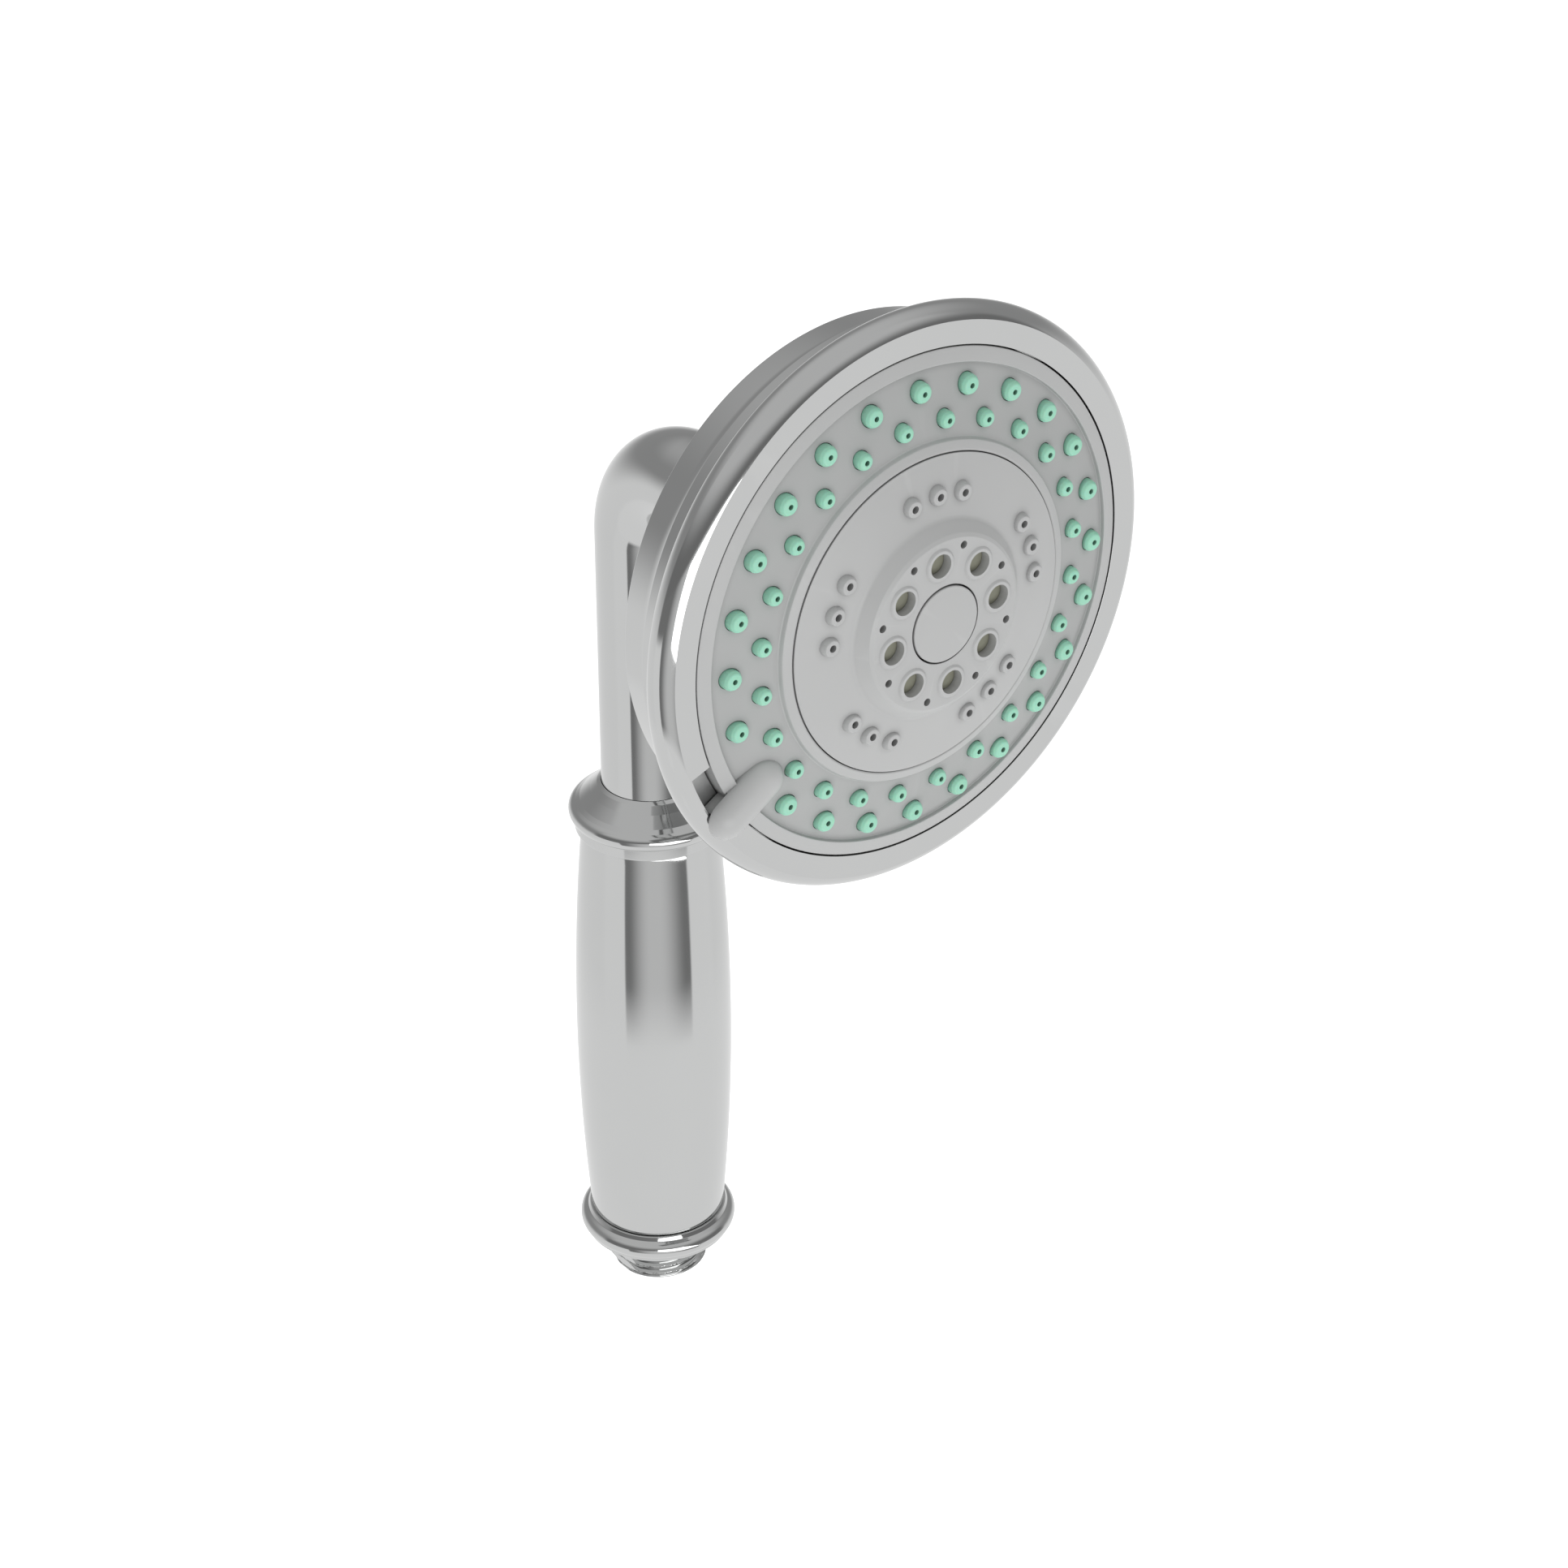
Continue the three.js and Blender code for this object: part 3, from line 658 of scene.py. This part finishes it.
def face_plate():
    plate = face_blank()
    holes = bmesh.new()
    for at, r, angles in RAIN_ROWS:
        drill = [(0.0, 70), (r + 0.12, 70), (r + 0.12, CLEAR), (0.0, CLEAR)]
        for angle in angles:
            add_lathe(holes, drill, 28, at_clock(at, angle))
    plate = combined(plate, mesh_object("drills", holes, ON_HEAD), "DIFFERENCE")
    lever = combined(lever_tool(), above_face(), "INTERSECT")
    plate = combined(plate, lever, "UNION")
    bm = bmesh.new()
    root = (LEVER_ANGLE - LEVER_ROOT_HALF, LEVER_ANGLE + LEVER_ROOT_HALF)
    wedge(bm, *root, 47.6, 52.7, NOTCH_FLOOR + 0.2, 81.0)
    return combined(plate, mesh_object("root", bm, ON_HEAD), "UNION")


def rain_tip(r, foot, top):
    """Soft silicone tip with a rounded shoulder and a small bore."""
    return [(0.0, foot), (r, foot), (r, top - TIP_RISE)] + softened(
        [
            (r, top - TIP_RISE),
            (r * 0.97, top - 0.75, 0.4),
            (r * 0.78, top - 0.1, 0.5),
            (0.49, top, 0.1),
            (0.47, top - 3.3),
            (0.0, top - 3.4),
        ],
    )[1:]


def nozzle_mat():
    bm = bmesh.new()

    def back(r):
        return recess(r) - PLATE_WALL - 0.3

    sheet = [(33.9, back(33.9) - 1.2), (45.2, back(45.2) - 1.2), (45.2, back(45.2))]
    add_lathe(bm, sheet + [(33.9, back(33.9))])
    for at, r, angles in RAIN_ROWS:
        tip = rain_tip(r, back(at) - 0.6, recess(at) + TIP_RISE)
        for angle in angles:
            add_lathe(bm, tip, 40, at_clock(at, angle))
    return mesh_object("nozzle_mat_silicone", bm, ON_HEAD)


def jet_clocks():
    """Five groups of three jets."""
    return [72 * group + 1 + step for group in range(5) for step in (-14, 0, 14)]


def center_plate():
    profile = softened(
        [
            (SEAM_R, 80.4),
            (SEAM_R, 83.95, 0.12),
            (24.0, 85.2),
            (19.2, 86.1, 1.6),
            (HUB_R + 0.1, 88.3, 0.5),
            (16.5, HUB_TOP - 0.02, 0.4),
            (CAP_R + 0.3, HUB_TOP, 0.12),
            (CAP_R + 0.3, 85.6),
            (2.4, 85.6),
            (2.4, 84.3),
            (9.2, 84.3),
            (9.2, HUB_WALL_BACK),
            (16.2, HUB_WALL_BACK),
            (16.2, 80.4),
            (17.6, 80.4),
            (17.6, 84.4),
            (20.0, 84.4),
            (28.9, 82.4),
            (28.9, 80.4),
        ]
    )
    plate = turned("center_plate_moulded", profile, ON_HEAD)
    raised = bmesh.new()
    rim_top = HUB_TOP + 0.35
    rim = softened([(0.0, 88.0), (3.3, 88.0), (3.25, 88.72), (2.85, rim_top, 0.25), (0.0, rim_top)])
    for angle in clocks(MASSAGE_COUNT, MASSAGE_PHASE):
        add_lathe(raised, rim, 48, at_clock(MASSAGE_R, angle))
    tip = softened([(0.0, 84.9), (1.9, 84.9), (1.75, 85.7), (1.5, 86.32, 0.3), (0.0, 86.32)])
    for angle in jet_clocks():
        add_lathe(raised, tip, 32, at_clock(JET_R, angle))
    plate = combined(plate, mesh_object("raised", raised, ON_HEAD), "UNION")
    drills = bmesh.new()
    bores = [(MASSAGE_R, MASSAGE_HOLE_R, clocks(MASSAGE_COUNT, MASSAGE_PHASE), 48, 87)]
    bores += [(MIST_R, MIST_HOLE_R, clocks(MASSAGE_COUNT, MIST_PHASE), 28, 87)]
    bores += [(JET_R, JET_HOLE_R, jet_clocks(), 28, 82)]
    for at, r, angles, segments, start in bores:
        drill = [(0.0, start), (r, start), (r, CLEAR), (0.0, CLEAR)]
        for angle in angles:
            add_lathe(drills, drill, segments, at_clock(at, angle))
    return combined(plate, mesh_object("drills", drills, ON_HEAD), "DIFFERENCE")


def center_cap():
    profile = softened(
        [
            (0.0, 87.8),
            (5.4, 87.8),
            (5.4, 86.0),
            (CAP_R, 86.0),
            (CAP_R, 88.95, 0.3),
            (0.0, CAP_FRONT),
        ]
    )
    return turned("center_cap_moulded", profile, ON_HEAD, 96)


MAKERS = {
    "inlet_fitting": inlet_fitting,
    "lower_collar": lower_collar,
    "grip_sleeve": grip_sleeve,
    "upper_collar": upper_collar,
    "neck_elbow": neck_elbow,
    "back_shell": back_shell,
    "bezel_ring": bezel_ring,
    "face_plate": face_plate,
    "nozzle_mat": nozzle_mat,
    "center_plate": center_plate,
    "center_cap": center_cap,
}
for cad_node, made in frame["nodes"].items():
    if cad_node in MAKERS:
        settle(MAKERS[cad_node](), cad_node)
    else:
        made.material_slots[0].material = FINISHES[SLOT_OF[cad_node]]


# ---------------------------------------------------------------- studio
FLOOR_Z = -0.35
FLOOR_HALF = 12  # metres
FLOOR_GLOW = 0.7
BACKDROP_WHITE = 1.1
WINDOW_AZIMUTH = math.radians(245)  # from +X towards +Y
WINDOW_LIGHT = 3.0
WINDOW_REACH = 0.7
WINDOW_SLOPES = [(-0.3, 0.14), (0.42, 0.14), (1.12, -0.7), (-0.3, -0.27)]
TABLE_R = 0.75
TABLE_FADE = 0.12
TABLE_LIGHT = 0.95
FACE_FRONT = 80  # millimetres in front of the grip axis
ROOM_FLOOR, ROOM_BELT, CEILING = 0.92, 0.36, 0.67
DARK_WALL, ABOVE_WINDOW, LIT_WALL = 0.24, 0.22, 0.74


def floor():
    """The pale ground that the camera sees; reflections see the table and the room instead."""
    bm = bmesh.new()
    bmesh.ops.create_grid(bm, x_segments=1, y_segments=1, size=FLOOR_HALF / MM)
    made = mesh_object("floor", bm, Matrix.Translation((0, 0, FLOOR_Z / MM)))
    white = finish("floor_white", (0.97, 0.97, 0.97), 0.9, mottle=0.0, bump=0.0)
    shader = white.node_tree.nodes["Principled BSDF"]
    shader.inputs["Emission Color"].default_value = (1, 1, 1, 1)
    shader.inputs["Emission Strength"].default_value = FLOOR_GLOW
    made.data.materials.append(white)
    made.visible_glossy = False
    made.visible_diffuse = False


def card(name, corners, strength, sampling="NONE", fade=None):
    """A flat lamp that only shows in reflections and as light.

    fade gives the distances from the origin at which it is clear and at which it is full.
    """
    bm = bmesh.new()
    bm.faces.new([bm.verts.new(corner) for corner in corners])
    mesh = bpy.data.meshes.new(name)
    bm.to_mesh(mesh)
    bm.free()
    made = bpy.data.objects.new(name, mesh)
    bpy.context.scene.collection.objects.link(made)
    glow = finish(name, (0.01, 0.01, 0.01), 0.9, mottle=0.0, bump=0.0)
    shader = glow.node_tree.nodes["Principled BSDF"]
    shader.inputs["Emission Color"].default_value = (1, 1, 1, 1)
    shader.inputs["Emission Strength"].default_value = strength
    if fade:
        tree = glow.node_tree
        place = node(tree, "ShaderNodeTexCoord").outputs["Object"]
        far = node(tree, "ShaderNodeVectorMath", {0: place}, operation="LENGTH")
        limits = {"From Min": fade[0], "From Max": fade[1]}
        soft = node(tree, "ShaderNodeMapRange", {"Value": far.outputs["Value"], **limits})
        tree.links.new(soft.outputs["Result"], shader.inputs["Alpha"])
    glow.cycles.emission_sampling = sampling
    mesh.materials.append(glow)
    made.visible_camera = False


def seen_from_head(aside, up, reach):
    """A point at a distance ahead of the head, towards the window; slopes are per metre ahead."""
    flat = Matrix.Rotation(WINDOW_AZIMUTH, 4, "Z") @ Vector((reach, aside * reach, 0))
    return Vector((0, -FACE_FRONT * MM, HEAD_Z * MM)) + flat + Vector((0, 0, up * reach))


def window():
    """A leaning four-sided window, about an arm's length in front of the head."""
    corners = [seen_from_head(*slopes, WINDOW_REACH) for slopes in WINDOW_SLOPES]
    card("window", corners, WINDOW_LIGHT, "FRONT_BACK")


def table():
    """The round white table, whose edge shows against the dark wall under the window."""
    turns = [math.radians(3 * k) for k in range(120)]
    outline = [(TABLE_R * math.cos(a), TABLE_R * math.sin(a), FLOOR_Z + 0.002) for a in turns]
    soft_edge = [math.hypot(r, FLOOR_Z) for r in (TABLE_R, TABLE_R - TABLE_FADE)]
    card("table", outline, TABLE_LIGHT, fade=soft_edge)


class Light:
    """Builds the studio's brightness from the direction that a ray leaves in."""

    def __init__(self, tree):
        self.tree = tree
        self.direction = node(tree, "ShaderNodeTexCoord").outputs["Generated"]

    def along(self, axis):
        made = node(
            self.tree,
            "ShaderNodeVectorMath",
            {0: self.direction, 1: axis},
            operation="DOT_PRODUCT",
        )
        return made.outputs["Value"]

    def math(self, operation, a, b=0.0):
        return node(self.tree, "ShaderNodeMath", {0: a, 1: b}, operation=operation).outputs[0]

    def ramp(self, value, start, stop, low=0.0, high=1.0):
        """Goes smoothly from low at start to high at stop."""
        inputs = {"From Min": start, "From Max": stop, "To Min": low, "To Max": high}
        made = node(
            self.tree,
            "ShaderNodeMapRange",
            {"Value": value, **inputs},
            interpolation_type="SMOOTHSTEP",
        )
        return made.outputs["Result"]

    def blend(self, factor, a, b):
        return mixed(self.tree, factor, a, b, "FLOAT")

    def all_of(self, *masks):
        total = masks[0]
        for mask in masks[1:]:
            total = self.math("MULTIPLY", total, mask)
        return total


def light_tent():
    """Grey walls and ceiling, and in front a dark wall that is lit below the window."""
    world = bpy.data.worlds.new("light_tent")
    bpy.context.scene.world = world
    world.use_nodes = True
    tree = world.node_tree
    light = Light(tree)
    up = light.along((0, 0, 1))
    ahead = light.along((math.cos(WINDOW_AZIMUTH), math.sin(WINDOW_AZIMUTH), 0))
    aside = light.along((-math.sin(WINDOW_AZIMUTH), math.cos(WINDOW_AZIMUTH), 0))
    depth = light.math("MAXIMUM", ahead, 0.05)
    x = light.math("DIVIDE", aside, depth)
    y = light.math("DIVIDE", up, depth)

    # the room behind and beside: light floor, a darker belt above the horizon, ceiling
    belt = light.blend(light.ramp(up, -0.32, 0.2), ROOM_FLOOR, ROOM_BELT)
    room = light.blend(light.ramp(up, 0.4, 0.95), belt, CEILING)

    # the wall in front: dark, lighter below the window and upwards, with floor beside it
    centred = light.math("ABSOLUTE", light.math("ADD", x, 0.13))
    glow = light.ramp(centred, 0.95, 0.1, DARK_WALL, LIT_WALL)
    glow = light.blend(light.ramp(y, 0.1, 0.2), glow, ABOVE_WINDOW)
    lit_top = light.math("ADD", light.ramp(up, 0.25, 0.75, 0.0, 0.45), glow)
    wall = light.math("MINIMUM", lit_top, LIT_WALL)
    off_centre = light.math("ABSOLUTE", light.math("ADD", x, 0.14))
    past_sides = light.ramp(off_centre, 1.12, 1.28)
    low = light.ramp(up, -0.14, -0.24)
    front = light.blend(light.all_of(past_sides, low), wall, TABLE_LIGHT)
    shone = light.blend(light.ramp(ahead, -0.08, 0.12), room, front)
    seen = node(tree, "ShaderNodeLightPath").outputs["Is Camera Ray"]
    background = tree.nodes["Background"]
    background.inputs["Color"].default_value = (1, 1, 1, 1)
    tree.links.new(light.blend(seen, shone, BACKDROP_WHITE), background.inputs["Strength"])
    world.cycles.sampling_method = "NONE"


CAMERA_AZIMUTH = math.radians(-38.873)
CAMERA_ELEVATION = math.radians(30.692)
CAMERA_DISTANCE = 0.7411
CAMERA_LENS = 88.61
AIM = Vector((0.000817, -0.042292, 0.137295))


def camera():
    """Looks at the part from the photograph's side."""
    data = bpy.data.cameras.new("camera")
    data.lens = CAMERA_LENS
    data.sensor_width = 36
    made = bpy.data.objects.new("camera", data)
    bpy.context.scene.collection.objects.link(made)
    back = Vector(
        (
            math.sin(CAMERA_AZIMUTH) * math.cos(CAMERA_ELEVATION),
            -math.cos(CAMERA_AZIMUTH) * math.cos(CAMERA_ELEVATION),
            math.sin(CAMERA_ELEVATION),
        )
    )
    made.location = AIM + back * CAMERA_DISTANCE
    made.rotation_mode = "QUATERNION"
    made.rotation_quaternion = (-back).to_track_quat("-Z", "Y")
    bpy.context.scene.camera = made


floor()
table()
window()
light_tent()
camera()
bpy.context.scene.view_settings.view_transform = "Standard"
